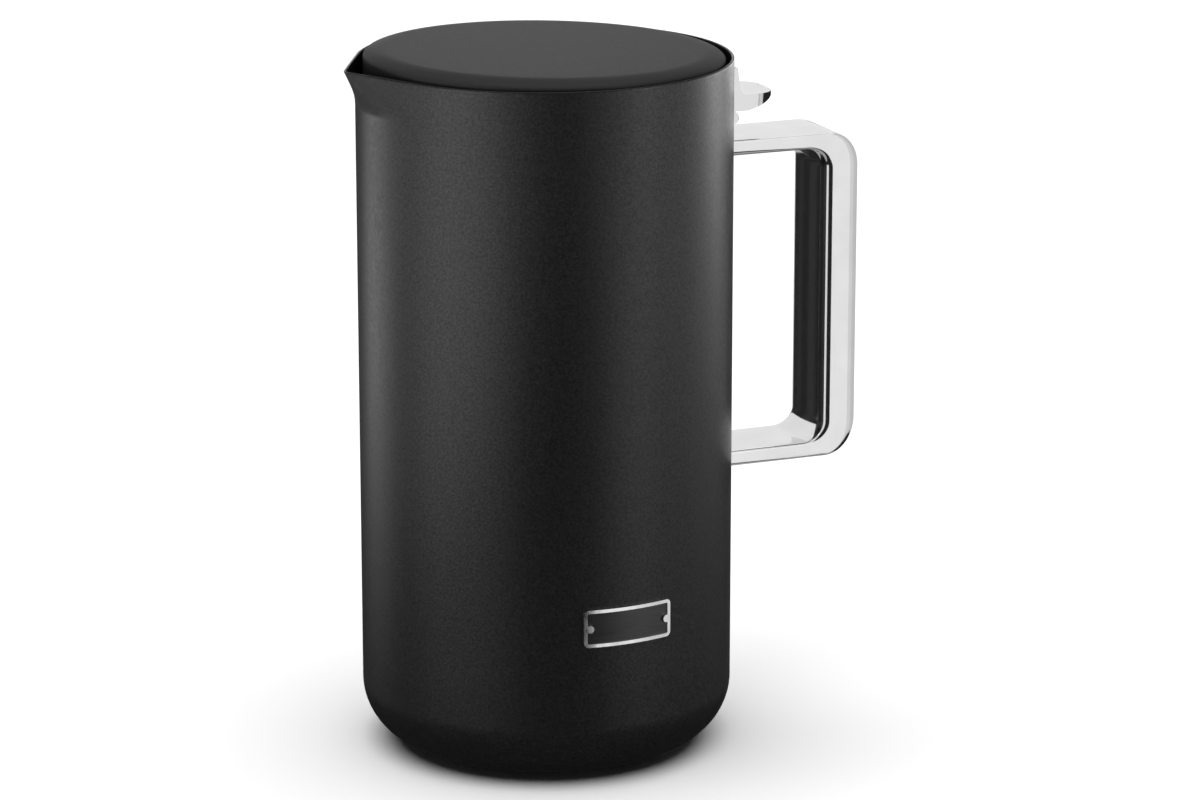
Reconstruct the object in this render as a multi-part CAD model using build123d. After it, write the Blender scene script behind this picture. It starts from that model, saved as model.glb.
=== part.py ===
from build123d import *
import math
import os

# Insulated press jug: a double-walled steel jug with a flush press head, a lid that drops
# onto a shoulder inside the neck, a filter stack on a rod, and a thumb lever that slides
# a pour gate in the lid.  Millimetres, +Z up, origin on the table under the jug's centre,
# handle along +X, spout along -X, badge facing -Y.

# ---- jug ----
BODY_R = 55.0
BODY_H = 206.0
SHELL_WALL = 0.8
BASE_EDGE_R = 18.0
FOOT_PROUD = 0.8
BASE_OPENING_R = 30.0
BASE_PLATE_LAP = 3.0
BASE_PLATE_T = 0.8
FOOT_CLEAR = 0.5
LINER_WALL = 0.6
VACUUM_GAP = 4.2
LINER_FLOOR_Z = 8.0
LINER_CORNER_R = 10.0
SHOULDER_DROP = 22.0
SHOULDER_LIP = 5.0
SEAL_PORT_R = 1.0
GETTER_OUT = 15.0
GETTER_R = 6.0
GETTER_T = 1.2
SEAL_R = 2.2
SEAL_T = 0.8

# ---- spout ----
SPOUT_REACH = 7.0
SPOUT_DEPTH = 9.4
SPOUT_STEPS = 6
SPOUT_TIP_SHARE = 0.055
SPOUT_BITE = 0.25
SPOUT_SINK = 0.05
SPOUT_ROOT_DEG = 1.5
SPOUT_FLANK_SHARE = 0.9
SPOUT_BACK_SHARE = 0.8
SPOUT_CUT_SHARE = 1.1

# ---- handle ----
HANDLE_REACH = 41.9
HANDLE_WIDTH = 23.4
HANDLE_TOP_DROP = 27.2
HANDLE_HEIGHT = 99.2
HANDLE_ARM = 4.7
HANDLE_GRIP = 12.3
HANDLE_OUTER_R = 11.0
HANDLE_INNER_R = 6.0
HANDLE_EDGE_R = 1.2
STUD_LENGTH = 7.0
STUD_WIDTH = 12.0
STUD_T = 2.4
STUD_CLEAR = 0.15
SET_SCREW_R = 1.25
SET_SCREW_SETBACK = 4.0
SET_SCREW_RECESS = 0.3
HEX_R = 0.75
HEX_DEPTH = 1.2

# ---- thumb lever and hinge ----
HINGE_OUT = 2.15
HINGE_DROP = 21.5
PIN_R = 1.0
PIN_CLEAR = 0.05
PIN_HEAD_R = 1.6
PIN_HEAD_T = 0.7
EAR_R = 2.0
EAR_T = 1.8
EAR_GAP = 0.2
LUG_R = 1.7
LUG_T = 1.8
LUG_INNER_Y = 2.4
LEVER_WIDTH = 20.8
LEVER_GAP = 0.4
LEVER_TOP_DROP = 5.7
LEVER_ROOT_RISE = 2.8
LEVER_PLATE_TOP_T = 1.4
LEVER_PLATE_ROOT_T = 2.4
LEVER_PLATFORM_RISE = 7.6
LEVER_REACH = 15.0
LEVER_TIP_T = 0.9
LEVER_HEEL = 3.0
LEVER_BELLY = 0.4
LEVER_FILLET = 2.2
LEVER_TIP_R = 7.0
LEVER_DISH = 0.8
FINGER_WIDTH = 4.0
FINGER_T = 1.4
FINGER_RISE = 5.4
FINGER_HOOK_H = 2.5
FINGER_HOOK_T = 1.2
FINGER_SLOT_CLEAR = 0.5
FINGER_TIP_CLEAR = 0.2
FINGER_BITE = 0.5
SPRING_WIRE = 0.5
SPRING_COILS = 4.5
SPRING_BORE_CLEAR = 0.15
SPRING_SIDE_CLEAR = 0.2
SPRING_LEG = 2.3

# ---- badge ----
BADGE_W = 28.0
BADGE_H = 11.2
BADGE_Z = 49.35
BADGE_TURN_DEG = -86.3
BADGE_BORDER = 1.0
BADGE_CORNER_R = 1.4
BADGE_FRAME_T = 0.9
BADGE_FIELD_T = 0.5
BADGE_PIN_ARC = 12.05
BADGE_PIN_R = 0.6
BADGE_HEAD_R = 1.1
BADGE_HEAD_T = 0.8
BADGE_HEAD_CLEAR = 0.05
BADGE_PIN_HALF_L = 3.0

# ---- lid ----
LID_T = 2.6
LID_CLEAR = 0.5
SKIRT_CLEAR = 0.8
SKIRT_T = 2.6
SKIRT_DEPTH = 8.0
GASKET_H = 3.0
GASKET_DEPTH = 1.2
GASKET_CLEAR = 0.15
GASKET_RISE = 2.5
HUB_R = 8.0
HUB_DEPTH = 4.0
HUB_RISE = 4.6
BUSH_R = 5.5
BUSH_LIP = 0.6
ROD_R = 3.0
ROD_CLEAR = 0.06
PORT_COUNT = 5
PORT_PITCH = 4.2
PORT_WIDTH = 1.4
PORT_LENGTH = 30.0
PORT_START = 20.0
PORT_MARGIN = 4.5
STRAINER_T = 0.5
STRAINER_MARGIN = 3.0
POST_X = 31.0
POST_T = 2.0
POST_W = 4.0
POST_H = 3.4
POST_CLEAR = 1.0
STRAINER_HOLE_R = 0.8
STRAINER_PITCH = 3.2
PANEL_EDGE = 1.0

# ---- pour gate ----
GATE_TRAVEL = 1.8
GATE_T = 1.0
GATE_WIDTH = 36.0
GATE_SEAL_T = 0.7
GATE_FLOAT = 0.1
YOKE_LEG_W = 1.2
YOKE_T = 0.9
YOKE_GAP = 0.3
YOKE_LIFT = 1.1
YOKE_BAR_H = 1.2
YOKE_SIDE_CLEAR = 0.4
YOKE_FORK = 2.6
HUB_WINDOW_CLEAR = 0.6
GATE_ARM_W = 3.0
GATE_TAIL_W = 9.6
SPRING_SLOT_CLEAR = 0.5
WINDOW_WEB = 2.4
RAIL_W = 5.0
RAIL_LAP = 2.0
RAIL_T = 0.9
RAIL_CLEAR = 0.3
RAIL_LIFT = 0.15
RAIL_SCREW_INSET = 6.0
RAIL_SCREW_BITE = 1.6
RAIL_SCREW_R = 1.0
RAIL_SCREW_HEAD_R = 1.8
RAIL_SCREW_HEAD_T = 0.8
SCREW_SLOT_W = 0.5
SCREW_SLOT_H = 0.8
RETURN_WIRE = 0.6
RETURN_R = 1.6
RETURN_COILS = 7
RETURN_LENGTH = 10.9
RETURN_END_CLEAR = 0.05

# ---- plunger ----
HEAD_GAP = 1.6
HEAD_TOP_RISE = 2.4
HEAD_CROWN_W = 9.0
HEAD_CROWN_DROP = 2.6
HEAD_SLOPE_DEG = 1.0
HEAD_SKIRT_T = 2.0
HEAD_TOP_T = 2.4
HEAD_H = 9.2
HEAD_CORE_T = 1.2
CORE_BOSS_R = 6.0
CORE_BOSS_H = 5.0
CORE_STANDOFF = 0.4
CORE_INSET = 0.4
ROD_END_CAP = 1.0
HEAD_POST_R = 3.2
HEAD_POST_BITE = 0.2
HEAD_SCREW_RING = 30.0
HEAD_SCREW_COUNT = 3
HEAD_SCREW_R = 1.2
HEAD_SCREW_BITE = 4.4
HEAD_SCREW_HEAD_R = 2.4
HEAD_SCREW_HEAD_T = 0.8
FILTER_Z = 34.0
FILTER_CLEAR = 0.3
MESH_T = 0.4
MESH_LIP_H = 4.6
EDGE_SPRING_R = 1.5
EDGE_SPRING_CLEAR = 0.2
SPIRAL_PLATE_T = 0.8
CROSS_PLATE_T = 1.0
CROSS_PLATE_R = 42.0
FLOW_HOLE_R = 3.0
FLOW_HOLES = 10
FLOW_RING_R = 33.0
INNER_HOLE_R = 3.6
INNER_HOLES = 6
INNER_RING_R = 18.0
COLLAR_R = 6.5
COLLAR_H = 4.0
PLATE_GAP = 0.1
FILTER_NUT_R = 7.5
FILTER_NUT_H = 5.0
FILTER_NUT_CAP = 0.8
ROD_STEP_R = 2.2
KNURLS = 18
KNURL_R = 0.6

# ---- how far cutters and joined blocks run past the face that they meet ----
OVER = 1.0

# ---- derived places ----
SHELL_IN = BODY_R - SHELL_WALL
LINER_OUT = SHELL_IN - VACUUM_GAP
LINER_IN = LINER_OUT - LINER_WALL
SHOULDER_Z = BODY_H - SHOULDER_DROP
BASE_PLATE_Z = FOOT_PROUD + SHELL_WALL
HINGE_X = BODY_R + HINGE_OUT
HINGE_Z = BODY_H - HINGE_DROP
EAR_IN = LUG_INNER_Y + LUG_T + EAR_GAP
EAR_OUT = EAR_IN + EAR_T
LEVER_IN_X = BODY_R + LEVER_GAP
LEVER_TOP_Z = BODY_H - LEVER_TOP_DROP
LEVER_ROOT_Z = HINGE_Z + LEVER_ROOT_RISE
PLATFORM_Z = HINGE_Z + LEVER_PLATFORM_RISE
FINGER_Z = HINGE_Z + FINGER_RISE
FINGER_TIP_X = LINER_IN + FINGER_TIP_CLEAR
HANDLE_TOP_Z = BODY_H - HANDLE_TOP_DROP
HANDLE_LOW_Z = HANDLE_TOP_Z - HANDLE_HEIGHT
ARM_MIDS = (HANDLE_TOP_Z - HANDLE_ARM / 2, HANDLE_LOW_Z + HANDLE_ARM / 2)
LID_TOP_Z = SHOULDER_Z + LID_T
SKIRT_R = LINER_IN - SKIRT_CLEAR
SKIRT_LOW_Z = SHOULDER_Z - SKIRT_DEPTH
HUB_TOP_Z = LID_TOP_Z + HUB_RISE
HUB_LOW_Z = SHOULDER_Z - HUB_DEPTH
SEAL_Z = LID_TOP_Z + GATE_FLOAT
GATE_Z = SEAL_Z + GATE_SEAL_T
GATE_TOP_Z = GATE_Z + GATE_T
YOKE_X = FINGER_TIP_X + FINGER_HOOK_T + YOKE_GAP
YOKE_IN_Y = FINGER_WIDTH / 2 + YOKE_SIDE_CLEAR
YOKE_OUT_Y = YOKE_IN_Y + YOKE_LEG_W
YOKE_BAR_Z = FINGER_Z + FINGER_T + YOKE_LIFT
YOKE_OUT_X = YOKE_X + YOKE_T
FORK_X = FINGER_TIP_X - YOKE_FORK
PANEL_FAR_X = -(PORT_START + (PORT_COUNT - 1) * PORT_PITCH + PORT_MARGIN)
WINDOW_X = HUB_R + HUB_WINDOW_CLEAR + GATE_TRAVEL
PANEL_NEAR_X = -WINDOW_X - WINDOW_WEB
RAIL_IN_Y = GATE_WIDTH / 2 + RAIL_CLEAR
RAIL_MID_Y = RAIL_IN_Y + RAIL_W / 2
RAIL_TOP_Z = GATE_TOP_Z + RAIL_LIFT + RAIL_T
FINGER_TOP_Z = FINGER_Z + FINGER_T + FINGER_HOOK_H
HEAD_R = SHELL_IN - HEAD_GAP
HEAD_TOP_Z = BODY_H + HEAD_TOP_RISE
HEAD_LOW_Z = HEAD_TOP_Z - HEAD_H
CORE_Z = HEAD_LOW_Z + CORE_INSET
CORE_TOP_Z = CORE_Z + HEAD_CORE_T
BOSS_LOW_Z = HUB_TOP_Z + BUSH_LIP + CORE_STANDOFF
FILTER_R = LINER_IN - FILTER_CLEAR
EDGE_RING_R = FILTER_R - MESH_T - EDGE_SPRING_CLEAR - EDGE_SPRING_R
SPIRAL_Z = FILTER_Z + MESH_T
BOSS_TOP_Z = CORE_TOP_Z + CORE_BOSS_H
ROD_TOP_Z = BOSS_TOP_Z - ROD_END_CAP
STACK_TOP_Z = SPIRAL_Z + SPIRAL_PLATE_T
CROSS_Z = FILTER_Z - CROSS_PLATE_T
NUT_LOW_Z = CROSS_Z - FILTER_NUT_H


def disc(radius, low, high):
    """A plain cylinder about Z between two heights."""
    return Pos(0, 0, (low + high) / 2) * Cylinder(radius, high - low)


def ring(outer, inner, low, high):
    """A plain tube about Z between two heights."""
    return disc(outer, low, high) - disc(inner, low - OVER, high + OVER)


def block(x_span, y_span, z_span):
    """A box given by its low and high value along each axis."""
    spans = (x_span, y_span, z_span)
    middle = [(low + high) / 2 for low, high in spans]
    size = [high - low for low, high in spans]
    return Pos(*middle) * Box(*size)


def mirrored_y(solid):
    """The same solid on the other side of the XZ plane."""
    return mirror(solid, about=Plane.XZ)


def across(x, z, radius, y_low, y_high):
    """A cylinder along Y through the point (x, z)."""
    return Pos(x, (y_low + y_high) / 2, z) * Rot(90, 0, 0) * Cylinder(radius, y_high - y_low)


def post(x, y, radius, low, high):
    """A cylinder along Z that stands at (x, y)."""
    return Pos(x, y, 0) * disc(radius, low, high)


def around(solid, count):
    """Copies of a solid, evenly spaced about Z."""
    return [Rot(0, 0, 360 * i / count) * solid for i in range(count)]


def coil(radius, wire_r, length, turns):
    """A round wire wound about Z from z = 0 up to the given length."""
    path = Helix(length / turns, length, radius)
    section = Plane(path @ 0, z_dir=path % 0) * Circle(wire_r)
    return sweep(section, path=path, is_frenet=True)


# ---------------------------------------------------------------- jug

def vessel(radius, low, corner_r, high):
    """A round solid with a rounded bottom edge."""
    body = disc(radius, low, high)
    return fillet(body.edges().group_by(Axis.Z)[0], corner_r)


def spout_section(radius, share, height):
    """A level slice of the spout: two near-tangent sides that meet in a small round tip."""
    reach = SPOUT_REACH * share * share * (2 - share) - SPOUT_SINK * (1 - share)
    sweep_angle = math.radians(SPOUT_ROOT_DEG)
    if reach > 0:
        sweep_angle = max(sweep_angle, SPOUT_FLANK_SHARE * math.acos(radius / (radius + reach)))
    tip = Vector(-radius - reach, 0)
    root_r = radius - SPOUT_BITE
    side = Vector(-root_r * math.cos(sweep_angle), root_r * math.sin(sweep_angle))
    shoulder = tip + (side - tip) * SPOUT_TIP_SHARE
    run = side - tip
    half_angle = math.atan2(run.Y, run.X)
    tip_r = (shoulder - tip).length * math.tan(half_angle)
    nose = tip + Vector(tip_r / math.sin(half_angle) - tip_r, 0)
    back = Vector(-radius * SPOUT_BACK_SHARE, side.Y)
    low_shoulder = Vector(shoulder.X, -shoulder.Y)
    low_side = Vector(side.X, -side.Y)
    low_back = Vector(back.X, -back.Y)
    edges = [
        ThreePointArc(shoulder, nose, low_shoulder),
        Line(low_shoulder, low_side),
        Line(low_side, low_back),
        Line(low_back, back),
        Line(back, side),
        Line(side, shoulder),
    ]
    return Pos(0, 0, height) * make_face(edges)


def spout(radius, top_share):
    """The flare at the rim, lofted from its root up to the share of its height asked for."""
    slices = []
    for i in range(SPOUT_STEPS):
        share = top_share * i / (SPOUT_STEPS - 1)
        height = BODY_H - SPOUT_DEPTH * (1 - share)
        slices.append(spout_section(radius, share, height))
    return loft(slices)


def outer_shell():
    """The coated outer shell, with the spout and the slot that the lever's finger goes through."""
    outside = vessel(BODY_R, FOOT_PROUD, BASE_EDGE_R, BODY_H) + spout(BODY_R, 1.0)
    inside = vessel(SHELL_IN, BASE_PLATE_Z, BASE_EDGE_R - SHELL_WALL, BODY_H + OVER)
    inside += spout(SHELL_IN, SPOUT_CUT_SHARE)
    slot_y = FINGER_WIDTH / 2 + FINGER_SLOT_CLEAR
    slot_z = (FINGER_Z - FINGER_SLOT_CLEAR, FINGER_TOP_Z + FINGER_SLOT_CLEAR)
    slot = block((SHELL_IN - OVER, BODY_R + OVER), (-slot_y, slot_y), slot_z)
    return outside - inside - disc(BASE_OPENING_R, 0, BASE_PLATE_Z + OVER) - slot


def inner_liner():
    """The steel liner, flared out to the shell at the shoulder that the lid sits on."""
    outside = vessel(LINER_OUT, LINER_FLOOR_Z, LINER_CORNER_R, SHOULDER_Z)
    outside += disc(SHELL_IN, SHOULDER_Z - LINER_WALL, SHOULDER_Z)
    outside += ring(SHELL_IN, SHELL_IN - LINER_WALL, SHOULDER_Z - SHOULDER_LIP, SHOULDER_Z)
    floor_z = LINER_FLOOR_Z + LINER_WALL
    return outside - vessel(LINER_IN, floor_z, LINER_CORNER_R - LINER_WALL, SHOULDER_Z + OVER)


def base_plate():
    """The disc that closes the shell from inside, with the evacuation port."""
    plate = disc(BASE_OPENING_R + BASE_PLATE_LAP, BASE_PLATE_Z, BASE_PLATE_Z + BASE_PLATE_T)
    return plate - disc(SEAL_PORT_R, 0, BASE_PLATE_Z + BASE_PLATE_T + OVER)


def vacuum_seal():
    """The small disc brazed over the evacuation port."""
    top = BASE_PLATE_Z + BASE_PLATE_T
    return disc(SEAL_R, top, top + SEAL_T)


def getter_capsule():
    """The getter pill that keeps the vacuum, spot-welded to the base plate."""
    top = BASE_PLATE_Z + BASE_PLATE_T
    return post(GETTER_OUT, 0, GETTER_R, top, top + GETTER_T)


def foot_pad():
    """The silicone pad that the jug stands on."""
    return disc(BASE_OPENING_R - FOOT_CLEAR, 0, BASE_PLATE_Z)


def handle():
    """The polished D handle, with a pocket in each arm for its stud and a set screw hole."""
    far_x = BODY_R + HANDLE_REACH
    half = HANDLE_WIDTH / 2
    back_x = BODY_R / 2
    outer = block((back_x, far_x), (-half, half), (HANDLE_LOW_Z, HANDLE_TOP_Z))
    outer = fillet(outer.edges().filter_by(Axis.Y).group_by(Axis.X)[-1], HANDLE_OUTER_R)
    gap_z = (HANDLE_LOW_Z + HANDLE_ARM, HANDLE_TOP_Z - HANDLE_ARM)
    inner = block((back_x, far_x - HANDLE_GRIP), (-half - OVER, half + OVER), gap_z)
    inner = fillet(inner.edges().filter_by(Axis.Y).group_by(Axis.X)[-1], HANDLE_INNER_R)
    body = outer - inner
    rims = [e for e in body.edges() if math.isclose(abs(e.center().Y), half)]
    body = fillet(rims, HANDLE_EDGE_R) - disc(BODY_R, 0, BODY_H)
    pocket_y = STUD_WIDTH / 2 + STUD_CLEAR
    for middle in ARM_MIDS:
        pocket_z = STUD_T / 2 + STUD_CLEAR
        body -= block((BODY_R / 2, BODY_R + STUD_LENGTH + STUD_CLEAR), (-pocket_y, pocket_y),
                      (middle - pocket_z, middle + pocket_z))
        body -= post(BODY_R + SET_SCREW_SETBACK, 0, SET_SCREW_R, middle - HANDLE_ARM, middle)
    return body


def handle_studs():
    """Two flat studs welded to the shell, one inside each arm of the handle."""
    studs = []
    for middle in ARM_MIDS:
        stud = block((BODY_R / 2, BODY_R + STUD_LENGTH), (-STUD_WIDTH / 2, STUD_WIDTH / 2),
                     (middle - STUD_T / 2, middle + STUD_T / 2))
        stud -= disc(BODY_R, 0, BODY_H)
        studs.append(stud - post(BODY_R + SET_SCREW_SETBACK, 0, SET_SCREW_R, 0, BODY_H))
    return Compound(studs)


def handle_screws():
    """Two socket set screws, driven up through the arms into the studs."""
    screws = []
    for middle in ARM_MIDS:
        low = middle - HANDLE_ARM / 2 + SET_SCREW_RECESS
        screw = disc(SET_SCREW_R, low, middle + STUD_T / 2)
        screw -= Pos(0, 0, low) * extrude(RegularPolygon(HEX_R, 6), HEX_DEPTH)
        screws.append(Pos(BODY_R + SET_SCREW_SETBACK, 0, 0) * screw)
    return Compound(screws)


# ---------------------------------------------------------------- badge

def badge_blank(margin, thickness):
    """A rounded plate bent to the shell, inset from the badge's outline by a margin."""
    half_w = BODY_R * math.sin(BADGE_W / 2 / BODY_R) - margin
    outline = RectangleRounded(2 * half_w, BADGE_H - 2 * margin, BADGE_CORNER_R - margin)
    plug = Pos(0, 0, BADGE_Z) * extrude(Plane.YZ * outline, 2 * BODY_R)
    return plug & ring(BODY_R + thickness, BODY_R, 0, BODY_H)


def badge_pin_cut(radius):
    """Two radial cylinders at the badge's pins, run through the shell's surface."""
    pins = []
    for side in (-1, 1):
        turn = side * math.degrees(BADGE_PIN_ARC / BODY_R)
        pin = Pos(BODY_R, 0, BADGE_Z) * Rot(0, 90, 0) * Cylinder(radius, 2 * BADGE_PIN_HALF_L)
        pins.append(Rot(0, 0, turn) * pin)
    return pins


def badge_frame():
    """The bright border of the badge, scalloped round the two pin heads."""
    frame = badge_blank(0, BADGE_FRAME_T) - badge_blank(BADGE_BORDER, BADGE_FRAME_T + OVER)
    for cut in badge_pin_cut(BADGE_HEAD_R + BADGE_HEAD_CLEAR):
        frame -= cut
    return Rot(0, 0, BADGE_TURN_DEG) * frame


def badge_field():
    """The blank dark plate inside the border."""
    field = badge_blank(BADGE_BORDER, BADGE_FIELD_T)
    for cut in badge_pin_cut(BADGE_PIN_R):
        field -= cut
    return Rot(0, 0, BADGE_TURN_DEG) * field


def badge_pins():
    """Two domed pins that hold the badge to the shell."""
    head_low = BODY_R + BADGE_FIELD_T
    head = ring(head_low + BADGE_HEAD_T, head_low, 0, BODY_H)
    shank = ring(head_low, BODY_R, 0, BODY_H)
    pins = []
    for wide, thin in zip(badge_pin_cut(BADGE_HEAD_R), badge_pin_cut(BADGE_PIN_R)):
        pins.append(Rot(0, 0, BADGE_TURN_DEG) * ((wide & head) + (thin & shank)))
    return Compound(pins)


# ---------------------------------------------------------------- thumb lever

def hinge_ears():
    """Two small ears welded to the shell under the lever."""
    ears = []
    for low, high in ((EAR_IN, EAR_OUT), (-EAR_OUT, -EAR_IN)):
        ear = block((BODY_R / 2, HINGE_X), (low, high), (HINGE_Z - EAR_R, HINGE_Z + EAR_R))
        ear += across(HINGE_X, HINGE_Z, EAR_R, low, high)
        ear -= disc(BODY_R, 0, BODY_H)
        ears.append(ear - across(HINGE_X, HINGE_Z, PIN_R, -EAR_OUT - OVER, EAR_OUT + OVER))
    return Compound(ears)


def hinge_pin():
    """The lever's pin, with a low head at each end."""
    pin = across(HINGE_X, HINGE_Z, PIN_R, -EAR_OUT, EAR_OUT)
    for low, high in ((EAR_OUT, EAR_OUT + PIN_HEAD_T), (-EAR_OUT - PIN_HEAD_T, -EAR_OUT)):
        pin += across(HINGE_X, HINGE_Z, PIN_HEAD_R, low, high)
    return pin


def lever_spring():
    """The torsion spring between the lugs, one leg on the wall and one under the lever."""
    wire_r = SPRING_WIRE / 2
    radius = PIN_R + SPRING_BORE_CLEAR + wire_r
    half = LUG_INNER_Y - SPRING_SIDE_CLEAR - wire_r
    winding = coil(radius, wire_r, 2 * half, SPRING_COILS)
    legs = []
    for x, y in ((radius, -half), (-radius, half)):
        legs.append(post(HINGE_X + x, y, wire_r, HINGE_Z, HINGE_Z + SPRING_LEG))
    return Pos(HINGE_X, -half, HINGE_Z) * Rot(-90, 0, 0) * winding + legs[0] + legs[1]


def lever_blade():
    """The lever's upright plate and thumb platform, before the finger and lugs are added."""
    tip_x = BODY_R + LEVER_REACH
    heel_x = HINGE_X + LEVER_HEEL
    under_tip = (tip_x, PLATFORM_Z - LEVER_TIP_T)
    belly = ((heel_x + tip_x) / 2, (LEVER_ROOT_Z + under_tip[1]) / 2 - LEVER_BELLY)
    upper = [
        (heel_x, LEVER_ROOT_Z),
        (LEVER_IN_X, LEVER_ROOT_Z),
        (LEVER_IN_X, LEVER_TOP_Z),
        (LEVER_IN_X + LEVER_PLATE_TOP_T, LEVER_TOP_Z),
        (LEVER_IN_X + LEVER_PLATE_ROOT_T, PLATFORM_Z),
        (tip_x, PLATFORM_Z),
        under_tip,
    ]
    outline = [Polyline(*upper), ThreePointArc(under_tip, belly, upper[0])]
    half = LEVER_WIDTH / 2
    blade = extrude(Plane.XZ * make_face(outline), half, both=True)
    corner = blade.edges().filter_by(Axis.Y).sort_by_distance(
        (LEVER_IN_X + LEVER_PLATE_ROOT_T, 0, PLATFORM_Z))[0]
    blade = fillet(corner, LEVER_FILLET)
    plan = block((LEVER_IN_X, tip_x), (-half, half), (LEVER_ROOT_Z - OVER, LEVER_TOP_Z + OVER))
    plan = fillet(plan.edges().filter_by(Axis.Z).group_by(Axis.X)[-1], LEVER_TIP_R)
    dish_r = (half * half + LEVER_DISH * LEVER_DISH) / (2 * LEVER_DISH)
    dish = Pos(LEVER_IN_X, 0, LEVER_TOP_Z + dish_r - LEVER_DISH)
    dish *= Rot(0, 90, 0) * Cylinder(dish_r, LEVER_REACH)
    return (blade & plan) - dish


def thumb_lever():
    """The whole lever: blade, two lugs on the pin and the hooked finger that pulls the gate."""
    half = FINGER_WIDTH / 2
    lever = lever_blade()
    lever += block((FINGER_TIP_X, LEVER_IN_X + FINGER_BITE), (-half, half), (FINGER_Z, FINGER_Z + FINGER_T))
    hook_x = (FINGER_TIP_X, FINGER_TIP_X + FINGER_HOOK_T)
    lever += block(hook_x, (-half, half), (FINGER_Z, FINGER_TOP_Z))
    lug_y = (LUG_INNER_Y, LUG_INNER_Y + LUG_T)
    lug = block((LEVER_IN_X, HINGE_X + LUG_R), lug_y, (HINGE_Z, LEVER_ROOT_Z))
    lug += across(HINGE_X, HINGE_Z, LUG_R, *lug_y)
    lever += lug
    lever += mirrored_y(lug)
    return lever - across(HINGE_X, HINGE_Z, PIN_R + PIN_CLEAR, -LEVER_WIDTH, LEVER_WIDTH)


# ---------------------------------------------------------------- lid

def port_slots(shift, low, high):
    """The row of pour slots, moved along X by a shift."""
    slots = []
    for i in range(PORT_COUNT):
        x = -(PORT_START + i * PORT_PITCH) + shift
        slot = Pos(x, 0, low) * Rot(0, 0, 90) * SlotOverall(PORT_LENGTH, PORT_WIDTH)
        slots.append(extrude(slot, high - low))
    return slots


def rail_screw_places():
    """The four screws that hold the two rails."""
    far_x = PANEL_FAR_X + RAIL_SCREW_INSET
    near_x = PANEL_NEAR_X - RAIL_SCREW_INSET
    return [(x, y) for x in (far_x, near_x) for y in (-RAIL_MID_Y, RAIL_MID_Y)]


def lid_body():
    """The lid: a plate on the shoulder, a skirt down into the liner and a hub for the rod."""
    body = disc(SHELL_IN - LID_CLEAR, SHOULDER_Z, LID_TOP_Z)
    body += ring(SKIRT_R, SKIRT_R - SKIRT_T, SKIRT_LOW_Z, SHOULDER_Z)
    body += disc(HUB_R, HUB_LOW_Z, HUB_TOP_Z)
    post_z = (LID_TOP_Z, LID_TOP_Z + POST_H)
    body += block((POST_X, POST_X + POST_T), (-POST_W / 2, POST_W / 2), post_z)
    groove_z = SKIRT_LOW_Z + GASKET_RISE
    body -= ring(LINER_OUT, SKIRT_R - GASKET_DEPTH, groove_z, groove_z + GASKET_H)
    body -= disc(BUSH_R, HUB_LOW_Z - OVER, HUB_TOP_Z + OVER)
    for slot in port_slots(0, SHOULDER_Z - OVER, LID_TOP_Z + OVER):
        body -= slot
    notch_x = (FINGER_TIP_X - YOKE_SIDE_CLEAR / 2, BODY_R)
    body -= block(notch_x, (-YOKE_IN_Y, YOKE_IN_Y), (SHOULDER_Z - OVER, LID_TOP_Z + OVER))
    for x, y in rail_screw_places():
        body -= post(x, y, RAIL_SCREW_R, LID_TOP_Z - RAIL_SCREW_BITE, LID_TOP_Z + OVER)
    return body


def lid_gasket():
    """The silicone ring in the skirt's groove."""
    low = SKIRT_LOW_Z + GASKET_RISE
    return ring(LINER_IN - GASKET_CLEAR, SKIRT_R - GASKET_DEPTH, low, low + GASKET_H)


def guide_bushing():
    """The bushing in the hub that the rod runs in, with a lip on top."""
    bush = disc(BUSH_R, HUB_LOW_Z, HUB_TOP_Z) + disc(HUB_R, HUB_TOP_Z, HUB_TOP_Z + BUSH_LIP)
    return bush - disc(ROD_R + ROD_CLEAR, HUB_LOW_Z - OVER, HUB_TOP_Z + BUSH_LIP + OVER)


def pour_strainer():
    """The perforated plate under the pour slots."""
    half = PORT_LENGTH / 2 + STRAINER_MARGIN
    far_x = PANEL_FAR_X + PANEL_EDGE
    near_x = -PORT_START + STRAINER_MARGIN
    plate = block((far_x, near_x), (-half, half), (SHOULDER_Z - STRAINER_T, SHOULDER_Z))
    rows = int((2 * half - STRAINER_PITCH) / STRAINER_PITCH)
    columns = int((near_x - far_x - STRAINER_PITCH) / STRAINER_PITCH)
    middle = (far_x + near_x) / 2
    holes = GridLocations(STRAINER_PITCH, STRAINER_PITCH, columns + 1, rows + 1)
    punch = Cylinder(STRAINER_HOLE_R, 2 * OVER)
    cutters = [Pos(middle, 0, SHOULDER_Z) * place * punch for place in holes]
    return plate - cutters


def gate_rails():
    """Two flat retainers, one along each side of the gate."""
    rails = []
    lift_z = GATE_TOP_Z + RAIL_LIFT
    x_span = (PANEL_FAR_X + PANEL_EDGE, PANEL_NEAR_X - PANEL_EDGE)
    for side in (-1, 1):
        foot_y = sorted((side * RAIL_IN_Y, side * (RAIL_IN_Y + RAIL_W)))
        lip_y = sorted((side * (GATE_WIDTH / 2 - RAIL_LAP), side * (RAIL_IN_Y + RAIL_W)))
        rail = block(x_span, foot_y, (LID_TOP_Z, lift_z)) + block(x_span, lip_y, (lift_z, RAIL_TOP_Z))
        for x, y in rail_screw_places():
            rail -= post(x, y, RAIL_SCREW_R, LID_TOP_Z - OVER, RAIL_TOP_Z + OVER)
        rails.append(rail)
    return Compound(rails)


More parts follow.
